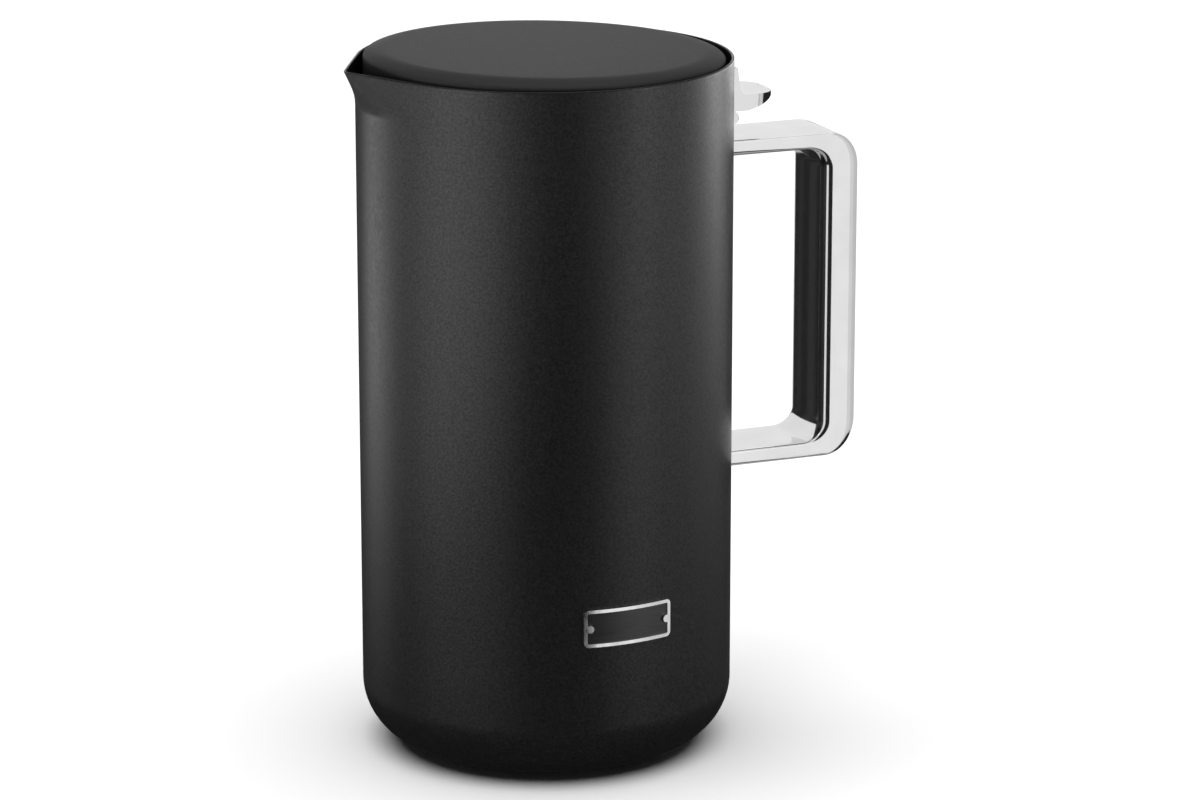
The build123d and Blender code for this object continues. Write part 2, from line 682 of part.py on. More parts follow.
def rail_screws():
    """Four pan-head screws through the rails into the lid."""
    screws = []
    for x, y in rail_screw_places():
        screw = post(x, y, RAIL_SCREW_R, LID_TOP_Z - RAIL_SCREW_BITE, RAIL_TOP_Z)
        head = post(x, y, RAIL_SCREW_HEAD_R, RAIL_TOP_Z, RAIL_TOP_Z + RAIL_SCREW_HEAD_T)
        slot_box = Box(2 * RAIL_SCREW_HEAD_R, SCREW_SLOT_W, SCREW_SLOT_H)
        slot = Pos(x, y, RAIL_TOP_Z + RAIL_SCREW_HEAD_T) * slot_box
        screws.append(screw + head - slot)
    return Compound(screws)


def gate_spring():
    """The compression spring that closes the gate, between the gate's slot and the lid's post."""
    length = RETURN_LENGTH - 2 * RETURN_END_CLEAR - RETURN_WIRE
    winding = coil(RETURN_R - RETURN_WIRE / 2, RETURN_WIRE / 2, length, RETURN_COILS)
    start_x = POST_X - RETURN_END_CLEAR - RETURN_WIRE / 2 - length
    return Pos(start_x, 0, LID_TOP_Z + RETURN_R + GATE_FLOAT) * Rot(0, 90, 0) * winding


# ---------------------------------------------------------------- pour gate

def gate_outline(low, high):
    """The gate's slotted panel with the window round the hub."""
    half = GATE_WIDTH / 2
    panel = block((PANEL_FAR_X, PANEL_NEAR_X), (-half, half), (low, high))
    for slot in port_slots(-GATE_TRAVEL, low - OVER, high + OVER):
        panel -= slot
    return panel


def pour_gate():
    """The sliding gate: panel, two arms past the hub, a tail and the yoke over the finger."""
    arm_in = HUB_R + HUB_WINDOW_CLEAR
    arm_out = arm_in + GATE_ARM_W
    tail_x = WINDOW_X + GATE_ARM_W
    level = (GATE_Z, GATE_TOP_Z)
    gate = gate_outline(*level)
    gate += block((PANEL_NEAR_X - OVER, tail_x), (-arm_out, arm_out), level)
    gate -= block((-WINDOW_X, WINDOW_X), (-arm_in, arm_in), (GATE_Z - OVER, GATE_TOP_Z + OVER))
    tail_half = GATE_TAIL_W / 2
    gate += block((tail_x - OVER, FORK_X), (-tail_half, tail_half), level)
    slot_half = RETURN_R + SPRING_SLOT_CLEAR
    slot_x = (POST_X - RETURN_LENGTH, POST_X + POST_T + POST_CLEAR)
    gate -= block(slot_x, (-slot_half, slot_half), (GATE_Z - OVER, GATE_TOP_Z + OVER))
    bar_top = YOKE_BAR_Z + YOKE_BAR_H
    for side in (-1, 1):
        leg_y = sorted((side * YOKE_IN_Y, side * YOKE_OUT_Y))
        gate += block((FORK_X - OVER, YOKE_OUT_X), leg_y, level)
        gate += block((YOKE_X, YOKE_OUT_X), leg_y, (GATE_Z, bar_top))
    return gate + block((YOKE_X, YOKE_OUT_X), (-YOKE_OUT_Y, YOKE_OUT_Y), (YOKE_BAR_Z, bar_top))


def gate_seal():
    """The silicone sheet bonded under the gate's panel."""
    return gate_outline(SEAL_Z, GATE_Z)


# ---------------------------------------------------------------- plunger

def head_solid():
    """The press head's outer form: a flat top with a soft crown edge, sloped a little."""
    crown_x = HEAD_R - HEAD_CROWN_W
    edge_z = HEAD_TOP_Z - HEAD_CROWN_DROP
    base_z = HEAD_LOW_Z - 2 * OVER
    quarter = math.sqrt(0.5)
    bend = (crown_x + HEAD_CROWN_W * quarter, edge_z + HEAD_CROWN_DROP * quarter)
    crown = Spline((crown_x, HEAD_TOP_Z), bend, (HEAD_R, edge_z), tangents=((1, 0), (0, -1)))
    rest = Polyline((HEAD_R, edge_z), (HEAD_R, base_z), (0, base_z), (0, HEAD_TOP_Z),
                    (crown_x, HEAD_TOP_Z))
    form = revolve(Plane.XZ * make_face([crown, rest]), Axis.Z)
    pivot = Pos(0, 0, HEAD_TOP_Z)
    sloped = pivot * Rot(0, HEAD_SLOPE_DEG, 0) * Pos(0, 0, -HEAD_TOP_Z) * form
    return sloped - disc(BODY_R, HEAD_LOW_Z - HEAD_H, HEAD_LOW_Z)


def press_head():
    """The black head that is pressed with the palm, hollow, with three screw posts."""
    cavity_r = HEAD_R - HEAD_SKIRT_T
    cavity_top = HEAD_TOP_Z - HEAD_TOP_T
    head = head_solid() - disc(cavity_r, HEAD_LOW_Z - OVER, cavity_top)
    peg = post(HEAD_SCREW_RING, 0, HEAD_POST_R, CORE_TOP_Z, cavity_top + HEAD_POST_BITE)
    peg -= post(HEAD_SCREW_RING, 0, HEAD_SCREW_R, CORE_Z, CORE_TOP_Z + HEAD_SCREW_BITE)
    for solid in around(peg, HEAD_SCREW_COUNT):
        head += solid
    return head


def head_core():
    """The plate that closes the head from below, with the boss that the rod screws into."""
    core = disc(HEAD_R - HEAD_SKIRT_T, CORE_Z, CORE_TOP_Z)
    core += disc(CORE_BOSS_R, BOSS_LOW_Z, BOSS_TOP_Z)
    core -= disc(ROD_R, BOSS_LOW_Z - OVER, ROD_TOP_Z)
    for hole in around(post(HEAD_SCREW_RING, 0, HEAD_SCREW_R, 0, CORE_TOP_Z + OVER), HEAD_SCREW_COUNT):
        core -= hole
    return core


def head_screws():
    """The screws that hold the core in the head."""
    screw = post(HEAD_SCREW_RING, 0, HEAD_SCREW_R, CORE_Z, CORE_TOP_Z + HEAD_SCREW_BITE)
    screw += post(HEAD_SCREW_RING, 0, HEAD_SCREW_HEAD_R, CORE_Z - HEAD_SCREW_HEAD_T, CORE_Z)
    return Compound(around(screw, HEAD_SCREW_COUNT))


def plunger_rod():
    """The rod, stepped down at its lower end for the filter stack."""
    low = NUT_LOW_Z + FILTER_NUT_CAP
    return disc(ROD_R, STACK_TOP_Z, ROD_TOP_Z) + disc(ROD_STEP_R, low, STACK_TOP_Z)


def rod_collar():
    """The collar on the rod that the filter stack is clamped against."""
    return ring(COLLAR_R, ROD_R, STACK_TOP_Z, STACK_TOP_Z + COLLAR_H)


def flow_plate(radius, low, high):
    """A round plate with two rings of flow holes and the rod hole."""
    plate = ring(radius, ROD_STEP_R, low, high)
    for hole in around(post(FLOW_RING_R, 0, FLOW_HOLE_R, low - OVER, high + OVER), FLOW_HOLES):
        plate -= hole
    for hole in around(post(INNER_RING_R, 0, INNER_HOLE_R, low - OVER, high + OVER), INNER_HOLES):
        plate -= hole
    return plate


def spiral_plate():
    """The upper filter plate, inside the edge spring."""
    return flow_plate(EDGE_RING_R - EDGE_SPRING_R - PLATE_GAP, SPIRAL_Z, STACK_TOP_Z)


def edge_spring():
    """The coiled spring that presses the screen to the wall, as the ring that it fills."""
    ring_z = SPIRAL_Z + EDGE_SPRING_R
    return Pos(0, 0, ring_z) * Torus(EDGE_RING_R, EDGE_SPRING_R)


def mesh_screen():
    """The woven screen: a disc with its edge turned up round the spring."""
    cup = disc(FILTER_R, FILTER_Z, SPIRAL_Z + MESH_LIP_H) - disc(FILTER_R - MESH_T, SPIRAL_Z, BODY_H)
    return cup - disc(ROD_STEP_R, 0, BODY_H)


def cross_plate():
    """The lower filter plate that holds the screen flat."""
    return flow_plate(CROSS_PLATE_R, CROSS_Z, FILTER_Z)


def filter_nut():
    """The knurled cap nut under the filter stack."""
    nut = disc(FILTER_NUT_R, NUT_LOW_Z, CROSS_Z)
    nut -= disc(ROD_STEP_R, NUT_LOW_Z + FILTER_NUT_CAP, CROSS_Z + OVER)
    for groove in around(post(FILTER_NUT_R, 0, KNURL_R, NUT_LOW_Z - OVER, CROSS_Z + OVER), KNURLS):
        nut -= groove
    return nut


PIECES = [
    outer_shell, inner_liner, base_plate, vacuum_seal, getter_capsule, foot_pad,
    handle, handle_studs, handle_screws, badge_frame, badge_field, badge_pins,
    hinge_ears, hinge_pin, lever_spring, thumb_lever,
    lid_body, lid_gasket, guide_bushing, pour_strainer, gate_rails, rail_screws, gate_spring,
    pour_gate, gate_seal,
    press_head, head_core, head_screws, plunger_rod, rod_collar, spiral_plate, edge_spring,
    mesh_screen, cross_plate, filter_nut,
]

os.makedirs("parts", exist_ok=True)
for piece in PIECES:
    export_step(piece(), f"parts/{piece.__name__}.step")
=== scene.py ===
"""The finish of an insulated press jug, laid over its fixed frame.

Sizes are in metres.  Places come from the frame's own boxes, and what the boxes don't give is a
named value.  The jug stands on z = 0 with its axis on Z, the handle along +X and the spout
along -X.
"""

from __future__ import annotations

import logging
import math
from dataclasses import dataclass, field
from enum import Enum
from typing import Iterable, Sequence

import bmesh
import bpy
from mathutils import Matrix, Vector


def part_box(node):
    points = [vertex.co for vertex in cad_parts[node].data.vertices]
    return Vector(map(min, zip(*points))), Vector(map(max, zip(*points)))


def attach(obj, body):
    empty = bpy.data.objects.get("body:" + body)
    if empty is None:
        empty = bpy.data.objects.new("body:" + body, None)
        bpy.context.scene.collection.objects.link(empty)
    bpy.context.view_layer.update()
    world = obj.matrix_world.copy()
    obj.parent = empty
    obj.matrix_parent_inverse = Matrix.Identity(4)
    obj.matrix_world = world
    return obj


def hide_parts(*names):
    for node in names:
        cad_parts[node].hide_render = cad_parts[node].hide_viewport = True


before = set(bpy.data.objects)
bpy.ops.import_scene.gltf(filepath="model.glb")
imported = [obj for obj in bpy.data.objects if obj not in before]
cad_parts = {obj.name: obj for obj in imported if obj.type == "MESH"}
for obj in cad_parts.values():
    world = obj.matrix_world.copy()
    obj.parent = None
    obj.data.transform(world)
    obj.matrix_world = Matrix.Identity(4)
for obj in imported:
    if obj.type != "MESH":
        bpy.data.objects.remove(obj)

LOG = logging.getLogger("press_jug")
MM = 0.001
TAU = 2 * math.pi

Point = tuple[float, float, float]
Grid = list[list[Point]]


class Body(Enum):
    """The moving groups of the frame that a piece can ride on."""

    JUG = "jug"
    LEVER = "lever"
    LID = "lid"
    GATE = "gate"
    PLUNGER = "plunger"


# ---------------------------------------------------------------- mesh helpers

def mesh_object(name: str, verts: Sequence[Point], faces: Iterable[Sequence[int]]) -> bpy.types.Object:
    """Makes a smooth-shaded mesh object.

    Args:
        name: the piece's name.
        verts: its points, in metres.
        faces: its faces, as lists of point numbers.

    Returns:
        The new object, linked to the scene.
    """
    mesh = bpy.data.meshes.new(name)
    mesh.from_pydata([tuple(v) for v in verts], [], [tuple(f) for f in faces])
    mesh.validate()
    mesh.polygons.foreach_set("use_smooth", [True] * len(mesh.polygons))
    piece = bpy.data.objects.new(name, mesh)
    bpy.context.scene.collection.objects.link(piece)
    return piece


def clean(piece: bpy.types.Object, merge: float = 1e-7) -> bpy.types.Object:
    """Welds doubled points and turns every face outwards.

    Args:
        piece: the mesh object to mend.
        merge: points closer than this become one.

    Returns:
        The same object.
    """
    work = bmesh.new()
    work.from_mesh(piece.data)
    bmesh.ops.remove_doubles(work, verts=work.verts, dist=merge)
    bmesh.ops.dissolve_degenerate(work, edges=work.edges, dist=merge)
    bmesh.ops.recalc_face_normals(work, faces=work.faces)
    work.to_mesh(piece.data)
    work.free()
    return piece


def grid_faces(rows: int, columns: int, wrap_rows: bool, wrap_columns: bool) -> list[list[int]]:
    """Numbers the quads of a grid of points that is stored row by row.

    Args:
        rows: how many rows the grid has.
        columns: how many points each row has.
        wrap_rows: whether the last row joins the first.
        wrap_columns: whether each row's last point joins its first.

    Returns:
        The quads, as lists of four point numbers.
    """
    faces = []
    for r in range(rows if wrap_rows else rows - 1):
        for c in range(columns if wrap_columns else columns - 1):
            below = (r + 1) % rows
            beside = (c + 1) % columns
            this_row, next_row = r * columns, below * columns
            faces.append([this_row + c, this_row + beside, next_row + beside, next_row + c])
    return faces


def grid_object(name: str, grid: Grid, wrap_rows: bool, wrap_columns: bool) -> bpy.types.Object:
    """Makes one mesh piece from a grid of points.

    Args:
        name: the piece's name.
        grid: rows of points, all rows of one length.
        wrap_rows: whether the last row joins the first.
        wrap_columns: whether each row closes on itself.

    Returns:
        The new object.
    """
    verts = [point for row in grid for point in row]
    faces = grid_faces(len(grid), len(grid[0]), wrap_rows, wrap_columns)
    return clean(mesh_object(name, verts, faces))


def arc(centre: tuple[float, float], radii: tuple[float, float], start: float, stop: float,
        steps: int) -> list[tuple[float, float]]:
    """Points along an elliptic arc in a flat profile.

    Args:
        centre: the arc's centre.
        radii: its radius along the profile's first and second axis.
        start: the first angle, in degrees.
        stop: the last angle, in degrees.
        steps: how many spans it is cut into.

    Returns:
        The points, both ends included.
    """
    points = []
    for i in range(steps + 1):
        angle = math.radians(start + (stop - start) * i / steps)
        points.append((centre[0] + radii[0] * math.cos(angle), centre[1] + radii[1] * math.sin(angle)))
    return points


def run(start: tuple[float, float], stop: tuple[float, float], steps: int) -> list[tuple[float, float]]:
    """Points along a straight stretch of a profile, without its two ends.

    Args:
        start: the stretch's first point.
        stop: its last point.
        steps: how many spans it is cut into.

    Returns:
        The points between the ends.
    """
    shares = [i / steps for i in range(1, steps)]
    return [(start[0] + (stop[0] - start[0]) * s, start[1] + (stop[1] - start[1]) * s) for s in shares]


def bevelled(piece: bpy.types.Object, width: float, segments: int = 3, angle: float = 35) -> bpy.types.Object:
    """Rounds a piece's sharp edges and keeps its flats flat.

    Args:
        piece: the mesh object.
        width: the bevel's width.
        segments: how many spans the rounding has.
        angle: edges that turn less than this stay as they are, in degrees.

    Returns:
        The same object.
    """
    bevel = piece.modifiers.new("edge", "BEVEL")
    bevel.width = width
    bevel.segments = segments
    bevel.limit_method = "ANGLE"
    bevel.angle_limit = math.radians(angle)
    bevel.harden_normals = False
    return piece


def soften(piece: bpy.types.Object, angle: float) -> bpy.types.Object:
    """Marks the edges that turn more than an angle as sharp, so that the rest shades smoothly.

    Args:
        piece: the mesh object.
        angle: the largest turn that still shades smoothly, in degrees.

    Returns:
        The same object.
    """
    piece.data.polygons.foreach_set("use_smooth", [True] * len(piece.data.polygons))
    piece.data.set_sharp_from_angle(angle=math.radians(angle))
    return piece


def cut(piece: bpy.types.Object, low: Point, high: Point) -> bpy.types.Object:
    """Cuts a box out of a piece for good.

    Args:
        piece: the mesh object.
        low: the box's lowest corner.
        high: the box's highest corner.

    Returns:
        The same object.
    """
    work = bmesh.new()
    bmesh.ops.create_cube(work, size=1)
    middle = (Vector(low) + Vector(high)) / 2
    span = Vector(high) - Vector(low)
    placed = Matrix.Translation(middle) @ Matrix.Diagonal((*span, 1))
    bmesh.ops.transform(work, matrix=placed, verts=work.verts)
    mesh = bpy.data.meshes.new("cutter")
    work.to_mesh(mesh)
    work.free()
    cutter = bpy.data.objects.new("cutter", mesh)
    bpy.context.scene.collection.objects.link(cutter)
    boolean = piece.modifiers.new("cut", "BOOLEAN")
    boolean.object = cutter
    boolean.solver = "EXACT"
    bpy.context.view_layer.update()
    shape = bpy.data.meshes.new_from_object(piece.evaluated_get(bpy.context.evaluated_depsgraph_get()))
    piece.modifiers.clear()
    piece.data = shape
    bpy.data.objects.remove(cutter)
    return piece


# ---------------------------------------------------------------- finishes

class Nodes:
    """A short hand for building one material's node tree."""

    def __init__(self, name: str) -> None:
        """Starts an empty material with a principled shader.

        Args:
            name: the material's name.
        """
        self.material = bpy.data.materials.new(name)
        self.material.use_nodes = True
        self.tree = self.material.node_tree
        self.shader = self.tree.nodes["Principled BSDF"]
        self.place = self.add("ShaderNodeTexCoord").outputs["Object"]

    def add(self, kind: str, **values: object) -> bpy.types.ShaderNode:
        """Adds a node and sets its properties and input values.

        Args:
            kind: the node's type.
            values: properties by name, and inputs by name with spaces as underscores.

        Returns:
            The node.
        """
        node = self.tree.nodes.new(kind)
        for key, value in values.items():
            label = key.replace("_", " ")
            if label in node.inputs:
                node.inputs[label].default_value = value
            else:
                setattr(node, key, value)
        return node

    def link(self, source: bpy.types.NodeSocket, target: bpy.types.NodeSocket) -> None:
        """Joins an output to an input."""
        self.tree.links.new(source, target)

    def stretched(self, scale: Point) -> bpy.types.NodeSocket:
        """Object coordinates, scaled along each axis.

        Args:
            scale: the factor along X, Y and Z.

        Returns:
            The vector output.
        """
        mapping = self.add("ShaderNodeMapping")
        mapping.inputs["Scale"].default_value = scale
        self.link(self.place, mapping.inputs["Vector"])
        return mapping.outputs["Vector"]

    def noise(self, scale: float, detail: float = 2, vector: bpy.types.NodeSocket | None = None,
              roughness: float = 0.5) -> bpy.types.NodeSocket:
        """A noise pattern in object space.

        Args:
            scale: how fine it is, per metre.
            detail: how many octaves it has.
            vector: coordinates other than plain object space.
            roughness: how strong the finer octaves are.

        Returns:
            The pattern's value output.
        """
        node = self.add("ShaderNodeTexNoise", Scale=scale, Detail=detail, Roughness=roughness)
        self.link(vector or self.place, node.inputs["Vector"])
        return node.outputs["Fac"]

    def between(self, value: bpy.types.NodeSocket, low: float, high: float, bottom: float = 0.3,
                top: float = 0.7) -> bpy.types.NodeSocket:
        """Spreads a pattern over a range of values.

        Args:
            value: the pattern.
            low: what the pattern's bottom becomes.
            high: what its top becomes.
            bottom: where the pattern's bottom is.
            top: where its top is.

        Returns:
            The new value output.
        """
        node = self.add("ShaderNodeMapRange", From_Min=bottom, From_Max=top, To_Min=low, To_Max=high)
        self.link(value, node.inputs["Value"])
        return node.outputs["Result"]

    def tinted(self, value: bpy.types.NodeSocket, dark: Point, light: Point) -> None:
        """Runs the base colour from dark to light with a pattern.

        Args:
            value: the pattern, from 0 to 1.
            dark: the colour at 0.
            light: the colour at 1.
        """
        mix = self.add("ShaderNodeMix", data_type="RGBA")
        self.link(value, mix.inputs["Factor"])
        mix.inputs["A"].default_value = (*dark, 1)
        mix.inputs["B"].default_value = (*light, 1)
        self.link(mix.outputs["Result"], self.shader.inputs["Base Color"])

    def bump(self, height: bpy.types.NodeSocket, strength: float, depth: float) -> None:
        """Raises the surface by a pattern.

        Args:
            height: the pattern.
            strength: how much of it is used.
            depth: its depth, in metres.
        """
        node = self.add("ShaderNodeBump", Strength=strength, Distance=depth)
        self.link(height, node.inputs["Height"])
        self.link(node.outputs["Normal"], self.shader.inputs["Normal"])


def grey(level: float) -> Point:
    """A neutral colour of one level."""
    return (level, level, level)


@dataclass(frozen=True)
class PowderCoat:
    """Matte black powder coat: a fine grain with slightly uneven gloss."""

    name: str = "black_powder_coat"
    level: float = 0.008
    spread: float = 0.35
    roughness: float = 0.37
    grain: float = 2600.0
    depth: float = 0.02 * MM
    gloss: float = 0.5
    sparkle: float = 0.25

    def build(self) -> bpy.types.Material:
        """Makes the material."""
        n = Nodes(self.name)
        mottle = n.noise(self.grain * 0.45, 3)
        n.tinted(n.between(mottle, 0, 1), grey(self.level * (1 - self.spread)),
                 grey(self.level * (1 + self.spread)))
        n.link(n.between(n.noise(self.grain * 0.3, 2), self.roughness - 0.05, self.roughness + 0.05),
               n.shader.inputs["Roughness"])
        n.link(n.between(n.noise(self.grain * 0.6, 1), self.gloss * (1 - self.sparkle),
                         self.gloss * (1 + self.sparkle)), n.shader.inputs["Specular IOR Level"])
        n.bump(n.noise(self.grain, 2), 0.25, self.depth)
        return n.material


@dataclass(frozen=True)
class MouldedPlastic:
    """Matte moulded plastic with a faint spark-eroded texture."""

    name: str
    level: float
    roughness: float = 0.5
    grain: float = 2200.0
    depth: float = 0.03 * MM
    specular: float = 0.5

    def build(self) -> bpy.types.Material:
        """Makes the material."""
        n = Nodes(self.name)
        cloud = n.noise(self.grain * 0.3, 3)
        n.tinted(n.between(cloud, 0, 1), grey(self.level * 0.92), grey(self.level * 1.08))
        n.link(n.between(cloud, self.roughness - 0.03, self.roughness + 0.03), n.shader.inputs["Roughness"])
        n.shader.inputs["Specular IOR Level"].default_value = self.specular
        n.bump(n.noise(self.grain, 2), 0.2, self.depth)
        return n.material


@dataclass(frozen=True)
class PolishedSteel:
    """Mirror-polished steel with hairline wear and a slightly uneven gloss."""

    name: str
    level: float = 0.74
    roughness: float = 0.08
    scratch: float = 0.004 * MM

    def build(self) -> bpy.types.Material:
        """Makes the material."""
        n = Nodes(self.name)
        n.shader.inputs["Metallic"].default_value = 1
        n.tinted(n.between(n.noise(90, 2), 0, 1), grey(self.level * 0.97), grey(self.level * 1.03))
        n.link(n.between(n.noise(260, 3), self.roughness * 0.7, self.roughness * 1.4),
               n.shader.inputs["Roughness"])
        n.bump(n.noise(900, 3, n.stretched((1, 1, 0.06))), 0.15, self.scratch)
        return n.material


@dataclass(frozen=True)
class BrushedSteel:
    """Brushed steel, with the brush lines running across one axis."""

    name: str
    level: float = 0.5
    roughness: float = 0.3
    stretch: Point = (1, 1, 30)
    fineness: float = 160.0
    depth: float = 0.02 * MM

    def build(self) -> bpy.types.Material:
        """Makes the material."""
        n = Nodes(self.name)
        n.shader.inputs["Metallic"].default_value = 1
        lines = n.noise(self.fineness, 4, n.stretched(self.stretch), 0.7)
        n.tinted(n.between(lines, 0, 1), grey(self.level * 0.82), grey(self.level * 1.12))
        n.link(n.between(lines, self.roughness - 0.07, self.roughness + 0.1), n.shader.inputs["Roughness"])
        n.bump(lines, 0.25, self.depth)
        return n.material


@dataclass(frozen=True)
class Silicone:
    """Soft black silicone with a dusty bloom."""

    name: str = "black_silicone"
    level: float = 0.02
    roughness: float = 0.62

    def build(self) -> bpy.types.Material:
        """Makes the material."""
        n = Nodes(self.name)
        n.tinted(n.between(n.noise(500, 4), 0, 1), grey(self.level * 0.8), grey(self.level * 1.4))
        n.link(n.between(n.noise(900, 3), self.roughness - 0.06, self.roughness + 0.08),
               n.shader.inputs["Roughness"])
        n.bump(n.noise(1600, 2), 0.2, 0.03 * MM)
        return n.material


@dataclass(frozen=True)
class WireCloth:
    """Fine woven steel cloth, as two crossed sets of wires with dark gaps."""

    name: str = "wire_cloth"
    pitch: float = 0.55 * MM

    def build(self) -> bpy.types.Material:
        """Makes the material."""
        n = Nodes(self.name)
        n.shader.inputs["Metallic"].default_value = 1
        bands = []
        for direction in ("X", "Y"):
            wave = n.add("ShaderNodeTexWave", wave_type="BANDS", bands_direction=direction,
                         wave_profile="SIN")
            wave.inputs["Scale"].default_value = math.pi / (10 * self.pitch)
            n.link(n.place, wave.inputs["Vector"])
            bands.append(wave.outputs["Fac"])
        weave = n.add("ShaderNodeMath", operation="MAXIMUM")
        n.link(bands[0], weave.inputs[0])
        n.link(bands[1], weave.inputs[1])
        n.tinted(n.between(weave.outputs[0], 0, 1, 0.35, 0.75), grey(0.03), grey(0.5))
        n.shader.inputs["Roughness"].default_value = 0.34
        n.bump(weave.outputs[0], 0.6, 0.12 * MM)
        return n.material


class Finishes:
    """Every finish of the jug, built once and handed out by name."""

    def __init__(self) -> None:
        """Builds the materials."""
        self.coat = PowderCoat().build()
        self.head = MouldedPlastic("black_head", 0.035, 0.6, specular=0.5).build()
        self.lid = MouldedPlastic("lid_plastic", 0.022, 0.42).build()
        self.bush = MouldedPlastic("bushing_plastic", 0.6, 0.35).build()
        self.handle = PolishedSteel("polished_handle", roughness=0.1).build()
        self.lever = PolishedSteel("polished_lever", roughness=0.1).build()
        self.rod = PolishedSteel("polished_rod", 0.7, 0.12).build()
        self.liner = BrushedSteel("brushed_liner").build()
        self.plate = BrushedSteel("stamped_plate", 0.55, 0.26, (30, 1, 1)).build()
        self.screw = BrushedSteel("screw_steel", 0.45, 0.3, (1, 1, 8)).build()
        self.wire = BrushedSteel("spring_wire", 0.5, 0.24, (1, 1, 1), 700).build()
        self.badge_rim = PolishedSteel("badge_rim", 0.8, 0.2).build()
        self.badge_field = BrushedSteel("badge_field", 0.11, 0.36, (1, 1, 40), 140).build()
        self.silicone = Silicone().build()
        self.cloth = WireCloth().build()


def dress(piece: bpy.types.Object, finish: bpy.types.Material) -> bpy.types.Object:
    """Gives a piece one finish all over.

    Args:
        piece: the object.
        finish: the material.

    Returns:
        The same object.
    """
    piece.data.materials.clear()
    piece.data.materials.append(finish)
    return piece


def dress_node(node: str, finish: bpy.types.Material) -> None:
    """Gives a frame node a finish through its own material slots.

    Args:
        node: the node's name.
        finish: the material.
    """
    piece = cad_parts[node]
    if not piece.material_slots:
        piece.data.materials.append(finish)
    for slot in piece.material_slots:
        slot.material = finish
    LOG.info("dressed %s with %s", node, finish.name)


def settle(piece: bpy.types.Object, body: Body, slot: str, *nodes: str) -> bpy.types.Object:
    """Puts a finished piece on its body in place of the nodes it stands for.

    Args:
        piece: the finished object.
        body: the body it moves with.
        slot: the record's material slot; not used.
        nodes: the frame nodes it replaces.

    Returns:
        The same object.
    """
    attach(piece, body.value)
    if nodes:
        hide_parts(*nodes)
    LOG.info("%s rides on %s", piece.name, body.value)
    return piece


# ---------------------------------------------------------------- sub-assemblies

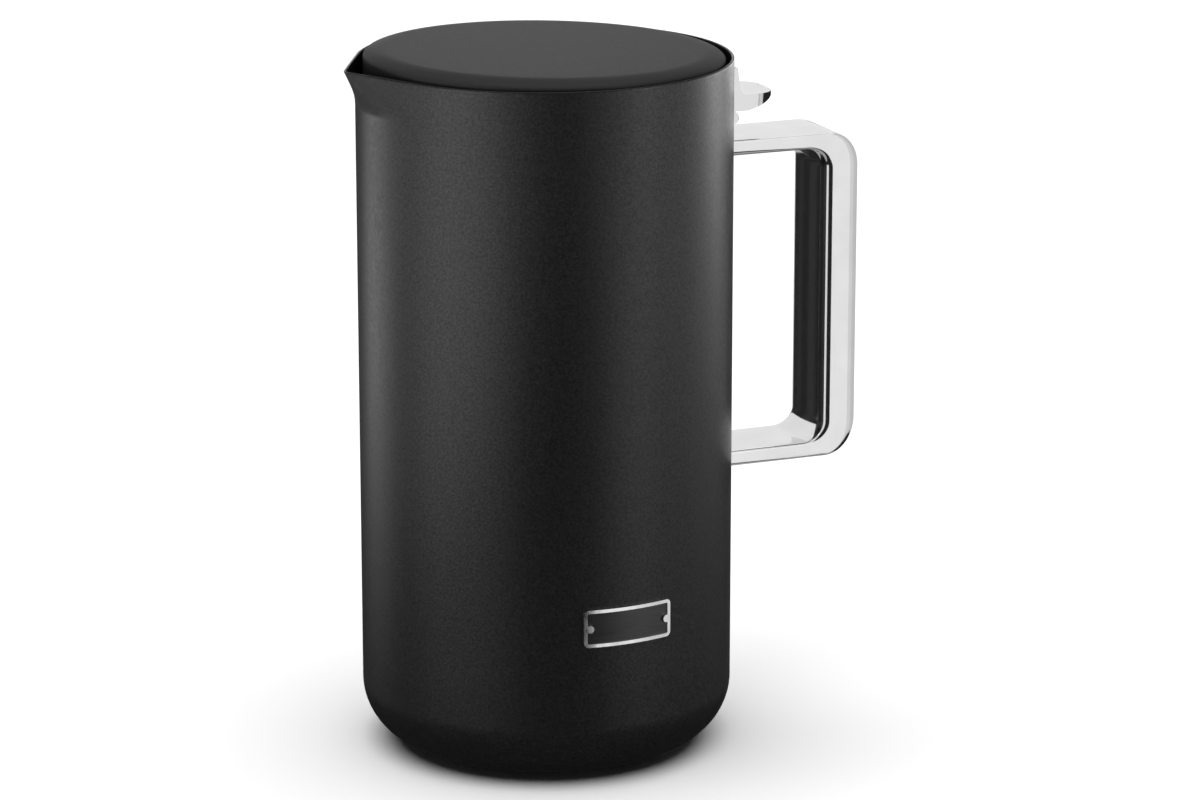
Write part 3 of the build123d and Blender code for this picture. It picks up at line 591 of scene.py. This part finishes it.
@dataclass
class Jug:
    """The outer shell with its spout, the handle, and the plain parts fixed to them."""

    finishes: Finishes
    wall: float = 0.8 * MM
    edge_r: float = 18 * MM
    flange_r: float = 30 * MM
    spout_depth: float = 13.5 * MM
    spout_fade: float = 0.2
    spout_widening: float = 0.3
    tip_blunt: float = 0.012
    base_blunt: float = 0.3
    tip_allowance: float = 0.3 * MM
    near_half_deg: float = 42.0
    near_step_deg: float = 0.5
    far_columns: int = 144
    rim_r: float = 0.34 * MM
    slot_half: float = 2.5 * MM
    slot_drops: tuple[float, float] = (16.6 * MM, 11.7 * MM)
    radius: float = field(init=False)
    rim: float = field(init=False)
    floor: float = field(init=False)
    reach: float = field(init=False)

    def __post_init__(self) -> None:
        """Reads the shell's own sizes from the frame."""
        low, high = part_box("outer_shell")
        self.radius = high.y
        self.rim = high.z
        self.floor = low.z
        self.reach = -low.x - self.radius

    def bulge(self, radius: float, height: float, turn: float) -> float:
        """The surface's distance from the axis.

        At the rim the spout has two straight flanks that meet in a tip; further down it grows
        wider, rounder and shallower until it is gone.

        Args:
            radius: the plain radius there.
            height: the height.
            turn: the angle from the spout's middle, in radians.

        Returns:
            The distance, larger than the radius only inside the spout.
        """
        share = 1 - (self.rim - height) / self.spout_depth
        if share <= 0:
            return radius
        fade = self.spout_fade
        strength = (math.hypot(share, fade) - fade) / (math.hypot(1, fade) - fade)
        rim_span = math.acos(radius / (radius + self.reach + self.tip_allowance))
        span = rim_span * (1 + self.spout_widening * (1 - share))
        blunt = self.tip_blunt + (self.base_blunt - self.tip_blunt) * (1 - share)
        peak = 1 / math.cos(span - blunt) - 1
        flank = 1 / math.cos(max(0.0, span - math.hypot(turn, blunt))) - 1
        full_reach = radius / math.cos(rim_span - self.tip_blunt) - radius
        return radius + full_reach * strength * flank / peak

    def turns(self) -> list[float]:
        """The angles of the shell's columns from the spout's middle, close together near it."""
        count = round(self.near_half_deg / self.near_step_deg)
        near = [math.radians(i * self.near_step_deg) for i in range(-count, count + 1)]
        rest_deg = 360 - 2 * self.near_half_deg
        far = [math.radians(self.near_half_deg + (rest_deg * i) / self.far_columns)
               for i in range(1, self.far_columns)]
        return near + far

    def profile(self) -> list[tuple[float, float]]:
        """The shell's closed section, as (radius, height) points."""
        inner = self.radius - self.wall
        corner_z = self.floor + self.edge_r
        corner_x = self.radius - self.edge_r
        points = [(self.flange_r, self.floor)]
        points += run((self.flange_r, self.floor), (corner_x, self.floor), 3)
        points += arc((corner_x, corner_z), (self.edge_r, self.edge_r), -90, 0, 24)
        flare_z = self.rim - self.spout_depth
        points += run((self.radius, corner_z), (self.radius, flare_z), 12)
        points += [(self.radius, flare_z)]
        lip_z = self.rim - self.rim_r
        points += run((self.radius, flare_z), (self.radius, lip_z), 30)
        points += arc((self.radius - self.rim_r, lip_z), (self.rim_r, self.rim_r), 0, 90, 4)
        points += arc((inner + self.rim_r, lip_z), (self.rim_r, self.rim_r), 90, 180, 4)
        points += run((inner, lip_z), (inner, flare_z), 30)
        points += [(inner, flare_z)]
        points += run((inner, flare_z), (inner, corner_z), 12)
        inner_r = self.edge_r - self.wall
        points += arc((corner_x, corner_z), (inner_r, inner_r), 0, -90, 24)
        points += [(self.flange_r, self.floor + self.wall)]
        return points

    def build_shell(self) -> bpy.types.Object:
        """Makes the shell with its spout and the slot behind the lever."""
        grid: Grid = []
        for radius, height in self.profile():
            row = []
            for turn in self.turns():
                distance = self.bulge(radius, height, turn if turn < math.pi else turn - TAU)
                row.append((-distance * math.cos(turn), -distance * math.sin(turn), height))
            grid.append(row)
        shell = grid_object("shell", grid, True, True)
        low, high = (self.rim - drop for drop in self.slot_drops)
        near, far = self.radius - 3 * MM, self.radius + 2 * MM
        cut(shell, (near, -self.slot_half, low), (far, self.slot_half, high))
        dress(shell, self.finishes.coat)
        return settle(shell, Body.JUG, "black_powder_coat", "outer_shell")

    def dress_plain_parts(self) -> None:
        """Dresses the parts that keep their frame shape."""
        f = self.finishes
        for node in ("inner_liner", "base_plate", "vacuum_seal", "getter_capsule", "handle_studs"):
            dress_node(node, f.liner)
        dress_node("foot_pad", f.silicone)
        dress_node("handle_screws", f.screw)
        dress_node("badge_frame", f.badge_rim)
        dress_node("badge_field", f.badge_field)
        dress_node("badge_pins", f.badge_rim)
        dress_node("hinge_ears", f.lever)
        dress_node("lever_spring", f.wire)


@dataclass(frozen=True)
class Station:
    """One cross-section of the handle: its inner and outer point and its edge radii."""

    inner: tuple[float, float]
    outer: tuple[float, float]
    inner_r: float
    outer_r: float
    crown: float


@dataclass
class Handle:
    """The polished D handle, swept through changing cross-sections."""

    finishes: Finishes
    arm: float = 4.7 * MM
    grip: float = 12.3 * MM
    outer_bend: float = 11 * MM
    inner_bend: float = 6 * MM
    arm_inner_r: float = 1.6 * MM
    arm_outer_r: float = 1.0 * MM
    grip_inner_r: float = 3.4 * MM
    grip_outer_r: float = 4.0 * MM
    root_r: float = 54.7 * MM
    edge_steps: int = 8
    face_steps: int = 10
    grip_crown: float = 0.35 * MM

    def __post_init__(self) -> None:
        """Reads the handle's outer sizes from the frame."""
        self.low, self.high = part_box("handle")

    def station(self, inner: tuple[float, float], outer: tuple[float, float], share: float) -> Station:
        """A cross-section between the arm's form and the grip's.

        Args:
            inner: the inner point, as (x, z).
            outer: the outer point, as (x, z).
            share: 0 on the arm and 1 on the grip.

        Returns:
            The station.
        """
        eased = share * share * (3 - 2 * share)
        inner_r = self.arm_inner_r + (self.grip_inner_r - self.arm_inner_r) * eased
        outer_r = self.arm_outer_r + (self.grip_outer_r - self.arm_outer_r) * eased
        return Station(inner, outer, inner_r, outer_r, self.grip_crown * eased)

    def upper_half(self) -> list[Station]:
        """The stations from the jug along the upper arm to the middle of the grip."""
        top, far = self.high.z, self.high.x
        outer_x, inner_x = far - self.outer_bend, far - self.grip - self.inner_bend
        stations = []
        root_x = self.root_r
        for i in range(13):
            share = i / 12
            outer = (root_x + (outer_x - root_x) * share, top)
            inner = (root_x + (inner_x - root_x) * share, top - self.arm)
            stations.append(self.station(inner, outer, 0.0))
        for i in range(1, 29):
            turn = math.radians(90 * i / 28)
            outer = (outer_x + self.outer_bend * math.sin(turn), top - self.outer_bend * (1 - math.cos(turn)))
            inner = (inner_x + self.inner_bend * math.sin(turn),
                     top - self.arm - self.inner_bend * (1 - math.cos(turn)))
            stations.append(self.station(inner, outer, i / 28))
        middle = (self.high.z + self.low.z) / 2
        for i in range(1, 9):
            share = i / 8
            outer_z = (top - self.outer_bend) * (1 - share) + middle * share
            inner_z = (top - self.arm - self.inner_bend) * (1 - share) + middle * share
            stations.append(self.station((far - self.grip, inner_z), (far, outer_z), 1.0))
        return stations

    def section(self, station: Station) -> list[Point]:
        """The closed ring of points of one station.

        Args:
            station: the cross-section.

        Returns:
            The points.
        """
        half = self.high.y
        inner, outer = Vector(station.inner), Vector(station.outer)
        reach = (outer - inner).length
        across = (outer - inner).normalized()
        flat = []
        corners = ((half, reach, station.outer_r, 0), (-half, reach, station.outer_r, 90),
                   (-half, 0, station.inner_r, 180), (half, 0, station.inner_r, 270))
        for y, d, r, start in corners:
            centre_y = y - math.copysign(r, y)
            centre_d = d - r if d else r
            for step in range(self.edge_steps + 1):
                turn = math.radians(start + 90 * step / self.edge_steps)
                flat.append((centre_y + r * math.cos(turn), centre_d + r * math.sin(turn)))
            if y < 0 and not d:
                edge = half - r
                for step in range(1, self.face_steps):
                    across_face = 2 * step / self.face_steps - 1
                    flat.append((edge * across_face, -station.crown * (1 - across_face ** 2)))
        ring = []
        for y, d in flat:
            spot = inner + across * d
            ring.append((spot.x, y, spot.y))
        return ring

    def build(self) -> bpy.types.Object:
        """Makes the handle."""
        upper = self.upper_half()
        middle = (self.high.z + self.low.z) / 2
        rings = [self.section(station) for station in upper]
        lower = [[(x, y, 2 * middle - z) for x, y, z in ring] for ring in reversed(rings[:-1])]
        rings += lower
        for ring in (rings[0], rings[-1]):
            for i, (_, y, z) in enumerate(ring):
                ring[i] = (math.sqrt(self.root_r ** 2 - y * y), y, z)
        count = len(rings[0])
        verts = [point for ring in rings for point in ring]
        faces = grid_faces(len(rings), count, False, True)
        faces.append(list(range(count)))
        faces.append([(len(rings) - 1) * count + i for i in reversed(range(count))])
        piece = soften(clean(mesh_object("d_handle", verts, faces)), 40)
        dress(piece, self.finishes.handle)
        return settle(piece, Body.JUG, "polished_handle", "handle")


def softened_copy(node: str, name: str, edge: float) -> bpy.types.Object:
    """Copies a frame node's shape and rounds its sharp edges.

    Args:
        node: the node's name.
        name: the new piece's name.
        edge: the width of the rounding.

    Returns:
        The new object, in the node's place.
    """
    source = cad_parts[node]
    mesh = source.data.copy()
    mesh.transform(source.matrix_world)
    piece = bpy.data.objects.new(name, mesh)
    bpy.context.scene.collection.objects.link(piece)
    clean(piece, 2e-6)
    soften(piece, 35)
    return bevelled(piece, edge, 4, 40)


@dataclass
class Lever:
    """The thumb lever and the pin it turns on."""

    finishes: Finishes
    edge: float = 0.35 * MM
    keel_r: float = 1.3 * MM
    keel_root: float = 5 * MM
    keel_under: float = -0.7
    keel_side: float = 0.6
    flat_deg: float = 0.4
    pin_dome: float = 1.5 * MM

    def round_keel(self, piece: bpy.types.Object) -> None:
        """Bevels the lower outer edge of the lever's platform, as far as its faces leave room.

        Args:
            piece: the lever.
        """
        work = bmesh.new()
        work.from_mesh(piece.data)
        bmesh.ops.dissolve_limit(work, angle_limit=math.radians(self.flat_deg), verts=work.verts,
                                 edges=work.edges)
        root = min(v.co.x for v in work.verts) + self.keel_root
        keel = []
        for edge in work.edges:
            if len(edge.link_faces) != 2 or min(v.co.x for v in edge.verts) < root:
                continue
            slopes = sorted(face.normal.z for face in edge.link_faces)
            if slopes[0] < self.keel_under and abs(slopes[1]) < self.keel_side:
                keel.append(edge)
        LOG.info("keel edges: %d", len(keel))
        bmesh.ops.bevel(work, geom=keel, offset=self.keel_r, segments=6, profile=0.5, affect="EDGES",
                        clamp_overlap=True)
        work.to_mesh(piece.data)
        work.free()

    def build(self) -> None:
        """Makes the lever and its pin from their frame shapes, with soft polished edges."""
        blade = softened_copy("thumb_lever", "lever_blade", self.edge)
        self.round_keel(blade)
        soften(blade, 35)
        dress(blade, self.finishes.lever)
        settle(blade, Body.LEVER, "polished_handle", "thumb_lever")
        pin = softened_copy("hinge_pin", "pin_domed", self.pin_dome)
        dress(pin, self.finishes.lever)
        settle(pin, Body.JUG, "polished_handle", "hinge_pin")


@dataclass
class Lid:
    """The lid with its gate."""

    finishes: Finishes

    def dress_plain_parts(self) -> None:
        """Dresses the lid's and the gate's parts."""
        f = self.finishes
        dress_node("lid_body", f.lid)
        dress_node("lid_gasket", f.silicone)
        dress_node("guide_bushing", f.bush)
        dress_node("pour_strainer", f.plate)
        dress_node("gate_rails", f.plate)
        dress_node("rail_screws", f.screw)
        dress_node("gate_spring", f.wire)
        dress_node("pour_gate", f.plate)
        dress_node("gate_seal", f.silicone)


@dataclass
class Plunger:
    """The press head, rod and filter stack."""

    finishes: Finishes
    crown_w: float = 6.5 * MM
    crown_drop: float = 2.6 * MM
    skirt: float = 2.0 * MM
    top_share: float = 1.2
    head_columns: int = 192
    slope_deg: float = 1.0
    wire_r: float = 0.32 * MM
    turns: int = 190
    turn_steps: int = 10
    wire_sides: int = 6

    def build_head(self) -> bpy.types.Object:
        """Makes the press head: a flat, slightly sloped top with a soft crown edge."""
        low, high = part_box("press_head")
        radius = high.y
        slope = math.radians(self.slope_deg)
        top = high.z - (radius - self.crown_w) * math.sin(slope)
        edge_z = top - self.crown_drop
        centre = (radius - self.crown_w, edge_z)
        outside = [(0.0, top)] + run((0.0, top), (centre[0], top), 8)
        outside += arc(centre, (self.crown_w, self.crown_drop), 90, 0, 22)
        outside += run((radius, edge_z), (radius, low.z), 4) + [(radius, low.z)]
        cavity = radius - self.skirt
        ceiling = top - self.skirt * self.top_share
        inside = [(cavity, low.z), (cavity, ceiling), (0.0, ceiling)]
        steps = self.head_columns
        grid = []
        for r, z in outside + inside:
            row = []
            for i in range(steps):
                x, y = r * math.cos(TAU * i / steps), r * math.sin(TAU * i / steps)
                tilt = 0 if z <= low.z + 1e-6 else -x * math.sin(slope)
                row.append((x, y, z + tilt))
            grid.append(row)
        piece = grid_object("head_cap", grid, False, True)
        dress(piece, self.finishes.head)
        return settle(piece, Body.PLUNGER, "black_head", "press_head")

    def build_edge_spring(self) -> bpy.types.Object:
        """Makes the coiled wire that runs round the filter's edge."""
        low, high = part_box("edge_spring")
        coil_r = (high.z - low.z) / 2 - self.wire_r
        ring_r = high.x - coil_r - self.wire_r
        middle = (high.z + low.z) / 2
        steps, sides = self.turns * self.turn_steps, self.wire_sides
        grid = []
        for i in range(steps):
            turn = TAU * i / steps
            wind = turn * self.turns
            out = Vector((math.cos(turn), math.sin(turn), 0))
            up = Vector((0, 0, 1))
            radial = out * math.cos(wind) + up * math.sin(wind)
            across = up * math.cos(wind) - out * math.sin(wind)
            along = up.cross(out) * ring_r + self.turns * coil_r * across
            side = along.normalized().cross(radial)
            centre = out * ring_r + up * middle + radial * coil_r
            row = []
            for k in range(sides):
                angle = TAU * k / sides
                row.append(tuple(centre + (radial * math.cos(angle) + side * math.sin(angle)) * self.wire_r))
            grid.append(row)
        piece = grid_object("edge_coil", grid, True, True)
        dress(piece, self.finishes.wire)
        return settle(piece, Body.PLUNGER, "spring_steel", "edge_spring")

    def dress_plain_parts(self) -> None:
        """Dresses the plunger's parts."""
        f = self.finishes
        dress_node("head_core", f.lid)
        dress_node("head_screws", f.screw)
        dress_node("plunger_rod", f.rod)
        dress_node("rod_collar", f.rod)
        dress_node("spiral_plate", f.plate)
        dress_node("mesh_screen", f.cloth)
        dress_node("cross_plate", f.plate)
        dress_node("filter_nut", f.rod)


# ---------------------------------------------------------------- studio

@dataclass(frozen=True)
class Strip:
    """One upright area light that stands round the jug and faces its axis."""

    azimuth: float
    low: float
    high: float
    radiance: float
    distance: float = 1.1
    width: float = 0.3


@dataclass
class Studio:
    """The floor, the lights and the camera."""

    focal_mm: float = 135.0
    sensor_mm: float = 36.0
    azimuth: float = -22.56
    elevation: float = 14.98
    distance: float = 1.3294
    aside: float = 16.06 * MM
    aim_height: float = 102.96 * MM
    sky: float = 0.02
    floor_sun: float = 4.1
    sun_spread_deg: float = 88.0
    roof_side: float = 2.4
    roof_height: float = 1.5
    coat_roof: float = 0.64
    lid_glow: Strip = Strip(163, 0.25, 1.05, 0.62, 1.5, 3.2)
    mirror_ground: float = 0.4
    ground_depth: float = 1.2
    spout_fill: float = 2.2
    fill_side: float = 0.13
    fill_spread_deg: float = 9.0
    fill_azimuth: float = -99.0
    fill_elevation: float = -60.0
    fill_aim: Point = (-57 * MM, -8 * MM, 200 * MM)
    fill_distance: float = 0.5
    floor_half: float = 6.0
    mirror_roof: float = 0.82
    coat_strips: tuple[Strip, ...] = (
        Strip(-150, -0.2, 0.005, 1.86), Strip(-135, -0.2, 0.005, 1.68), Strip(-115, -0.2, 0.005, 0.36),
        Strip(-95, -0.2, 0.005, 1.47), Strip(-80, -0.2, 0.005, 1.40), Strip(-65, -0.2, 0.005, 1.31),
        Strip(-50, -0.2, 0.005, 0.98), Strip(25, -0.2, 0.005, 1.60), Strip(40, -0.2, 0.005, 1.79),
        Strip(60, -0.2, 0.005, 1.10), Strip(80, -0.2, 0.005, 0.85), Strip(100, -0.2, 0.005, 0.47),
        Strip(-135, 0.005, 0.15, 0.32), Strip(-115, 0.005, 0.15, 1.51), Strip(-95, 0.005, 0.15, 1.56),
        Strip(-80, 0.005, 0.15, 2.58), Strip(-65, 0.005, 0.15, 0.44), Strip(-50, 0.005, 0.15, 0.84),
        Strip(-35, 0.005, 0.15, 0.58), Strip(10, 0.005, 0.15, 1.47), Strip(60, 0.005, 0.15, 1.36),
        Strip(80, 0.005, 0.15, 2.61), Strip(100, 0.005, 0.15, 10.03), Strip(115, 0.005, 0.15, 0.82),
        Strip(130, 0.005, 0.15, 6.43), Strip(-65, 0.15, 0.35, 5.00), Strip(40, 0.15, 0.35, 7.89),
        Strip(115, 0.15, 0.35, 2.89), Strip(160, 0.15, 0.35, 3.2),
    )
    mirror_cards: tuple[Strip, ...] = (
        Strip(22, -0.6, 2.0, 1.0, 1.6, 0.86), Strip(52, -0.6, 2.0, 0.8, 1.6, 0.86),
        Strip(82, -0.6, 2.0, 0.66, 1.6, 0.86), Strip(112, -0.6, 2.0, 0.6, 1.6, 0.86),
        Strip(142, -0.6, 0.12, 0.58, 1.6, 0.86), Strip(172, -0.6, 0.12, 0.58, 1.6, 0.86),
        Strip(142, 0.12, 2.0, 0.92, 1.6, 0.86), Strip(172, 0.12, 2.0, 0.92, 1.6, 0.86),
        Strip(202, 0.12, 2.0, 0.92, 1.6, 0.86), Strip(-47, -0.6, 2.0, 0.9, 1.6, 0.7),
        Strip(-105, -0.6, 1.4, 0.45, 1.6, 0.86), Strip(-152, -0.8, 0.1, 0.018, 1.6, 0.16),
        Strip(-162, -0.8, 0.1, 0.012, 1.6, 0.1),
    )
    lever_cards: tuple[Strip, ...] = (
        Strip(22, -0.55, 2.0, 0.95, 1.6, 0.86), Strip(50, -0.55, 2.0, 0.75, 1.6, 0.6),
        Strip(142, 0.12, 2.0, 0.9, 1.6, 0.86), Strip(172, 0.12, 2.0, 0.9, 1.6, 0.86),
        Strip(-47, -0.3, 2.0, 0.8, 1.6, 0.5), Strip(-105, -0.3, 1.4, 0.45, 1.6, 0.86),
    )

    @staticmethod
    def direction(azimuth: float, elevation: float) -> Vector:
        """The unit vector from the jug towards a place round it.

        Args:
            azimuth: degrees round, 0 in front along -Y and 90 along +X.
            elevation: degrees up.

        Returns:
            The vector.
        """
        a, e = math.radians(azimuth), math.radians(elevation)
        return Vector((math.sin(a) * math.cos(e), -math.cos(a) * math.cos(e), math.sin(e)))

    def build_camera(self) -> None:
        """Sets the camera up at the usual viewing angle."""
        back = self.direction(self.azimuth, self.elevation)
        right = Vector((math.cos(math.radians(self.azimuth)), math.sin(math.radians(self.azimuth)), 0))
        target = right * self.aside + Vector((0, 0, self.aim_height))
        data = bpy.data.cameras.new("camera")
        data.lens = self.focal_mm
        data.sensor_width = self.sensor_mm
        data.clip_end = 50
        camera = bpy.data.objects.new("camera", data)
        axes = Matrix((right, back.cross(right), back)).transposed().to_4x4()
        camera.matrix_world = Matrix.Translation(target + back * self.distance) @ axes
        bpy.context.scene.collection.objects.link(camera)
        bpy.context.scene.camera = camera

    def group(self, name: str, pieces: Iterable[bpy.types.Object]) -> bpy.types.Collection:
        """Gathers pieces that one set of lights falls on.

        Args:
            name: the group's name.
            pieces: its objects.

        Returns:
            The collection.
        """
        group = bpy.data.collections.new(name)
        for piece in pieces:
            group.objects.link(piece)
        return group

    def hang(self, light: bpy.types.Object, group: bpy.types.Collection) -> None:
        """Puts a light in the scene, on one group of pieces only.

        Args:
            light: the light.
            group: the pieces that it falls on.
        """
        bpy.context.scene.collection.objects.link(light)
        light.visible_camera = False
        light.light_linking.receiver_collection = group

    def stand(self, name: str, strip: Strip, group: bpy.types.Collection) -> None:
        """Stands one strip light up.

        Args:
            name: the light's name.
            strip: its place, size and radiance.
            group: the pieces that it falls on.
        """
        data = bpy.data.lights.new(name, "AREA")
        data.shape = "RECTANGLE"
        data.size = strip.width
        data.size_y = strip.high - strip.low
        data.energy = math.pi * data.size * data.size_y * strip.radiance
        light = bpy.data.objects.new(name, data)
        back = self.direction(strip.azimuth, 0)
        light.location = back * strip.distance + Vector((0, 0, (strip.low + strip.high) / 2))
        light.rotation_euler = back.to_track_quat("Z", "Y").to_euler()
        self.hang(light, group)

    def fill_spout(self, group: bpy.types.Collection) -> None:
        """Shines a narrow light up at the spout's overhang, as a pale floor would.

        Args:
            group: the pieces that it falls on.
        """
        data = bpy.data.lights.new("spout_fill", "AREA")
        data.shape = "SQUARE"
        data.size = self.fill_side
        data.spread = math.radians(self.fill_spread_deg)
        data.energy = math.pi * data.size ** 2 * self.spout_fill
        light = bpy.data.objects.new("spout_fill", data)
        back = self.direction(self.fill_azimuth, self.fill_elevation)
        light.location = Vector(self.fill_aim) + back * self.fill_distance
        light.rotation_euler = back.to_track_quat("Z", "Y").to_euler()
        self.hang(light, group)

    def cover(self, name: str, radiance: float, group: bpy.types.Collection, below: bool = False) -> None:
        """Hangs a wide soft light overhead, or lays it far below.

        Args:
            name: the light's name.
            radiance: how bright it is.
            group: the pieces that it falls on.
            below: whether it shines up from below.
        """
        data = bpy.data.lights.new(name, "AREA")
        data.shape = "SQUARE"
        data.size = self.roof_side
        data.energy = math.pi * data.size ** 2 * radiance
        light = bpy.data.objects.new(name, data)
        light.location = (0, 0, -self.ground_depth if below else self.roof_height)
        light.rotation_euler = (math.pi if below else 0, 0, 0)
        self.hang(light, group)

    def build_lights(self, matte: bpy.types.Collection, mirror: bpy.types.Collection,
                     lever: bpy.types.Collection, ground: bpy.types.Collection) -> None:
        """Stands the strips and cards and sets the sky.

        Args:
            matte: the coated and plain pieces.
            mirror: the polished pieces.
            lever: the lever and its hinge.
            ground: the floor.
        """
        for i, card in enumerate(self.lever_cards):
            self.stand(f"lever_card_{i}", card, lever)
        self.cover("lever_roof", self.mirror_roof, lever)
        for i, strip in enumerate(self.coat_strips):
            self.stand(f"strip_{i}", strip, matte)
        for i, card in enumerate(self.mirror_cards):
            self.stand(f"card_{i}", card, mirror)
        self.stand("lid_glow", self.lid_glow, matte)
        self.cover("coat_roof", self.coat_roof, matte)
        self.cover("mirror_roof", self.mirror_roof, mirror)
        self.cover("mirror_ground", self.mirror_ground, mirror, below=True)
        self.fill_spout(matte)
        data = bpy.data.lights.new("floor_sun", "SUN")
        data.energy = self.floor_sun
        data.angle = math.radians(self.sun_spread_deg)
        self.hang(bpy.data.objects.new("floor_sun", data), ground)
        world = bpy.data.worlds.new("studio")
        world.use_nodes = True
        world.node_tree.nodes["Background"].inputs["Color"].default_value = (1, 1, 1, 1)
        world.node_tree.nodes["Background"].inputs["Strength"].default_value = self.sky
        bpy.context.scene.world = world
        bpy.context.scene.view_settings.view_transform = "Standard"

    def build_floor(self) -> bpy.types.Object:
        """Lays the pale floor."""
        half = self.floor_half
        corners = [(-half, -half, 0), (half, -half, 0), (half, half, 0), (-half, half, 0)]
        floor = mesh_object("floor", corners, [(0, 1, 2, 3)])
        n = Nodes("pale_floor")
        n.tinted(n.between(n.noise(3, 2), 0, 1), grey(0.9), grey(0.93))
        n.shader.inputs["Roughness"].default_value = 0.8
        n.shader.inputs["Specular IOR Level"].default_value = 0.1
        dress(floor, n.material)
        floor.visible_glossy = False
        floor.visible_shadow = False
        return floor

    def build(self, finishes: Finishes) -> None:
        """Sets the whole studio up, with a set of lights for each kind of finish.

        Args:
            finishes: the jug's finishes.
        """
        mirrors = (finishes.handle, finishes.rod, finishes.badge_rim)
        groups: dict[str, list[bpy.types.Object]] = {"matte": [], "mirror": [], "lever": []}
        for piece in [p for p in bpy.context.scene.objects if p.type == "MESH"]:
            finish = piece.material_slots[0].material if piece.material_slots else None
            kind = "lever" if finish == finishes.lever else "mirror" if finish in mirrors else "matte"
            groups[kind].append(piece)
        matte, mirror, lever = (self.group(name, pieces) for name, pieces in groups.items())
        self.build_lights(matte, mirror, lever, self.group("ground", [self.build_floor()]))
        self.build_camera()


def main() -> None:
    """Builds every sub-assembly in order."""
    logging.basicConfig(level=logging.INFO, format="%(message)s")
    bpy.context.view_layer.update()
    finishes = Finishes()
    jug = Jug(finishes)
    jug.build_shell()
    jug.dress_plain_parts()
    Handle(finishes).build()
    Lever(finishes).build()
    Lid(finishes).dress_plain_parts()
    plunger = Plunger(finishes)
    plunger.build_head()
    plunger.build_edge_spring()
    plunger.dress_plain_parts()
    Studio().build(finishes)


if __name__ == "__main__":
    main()
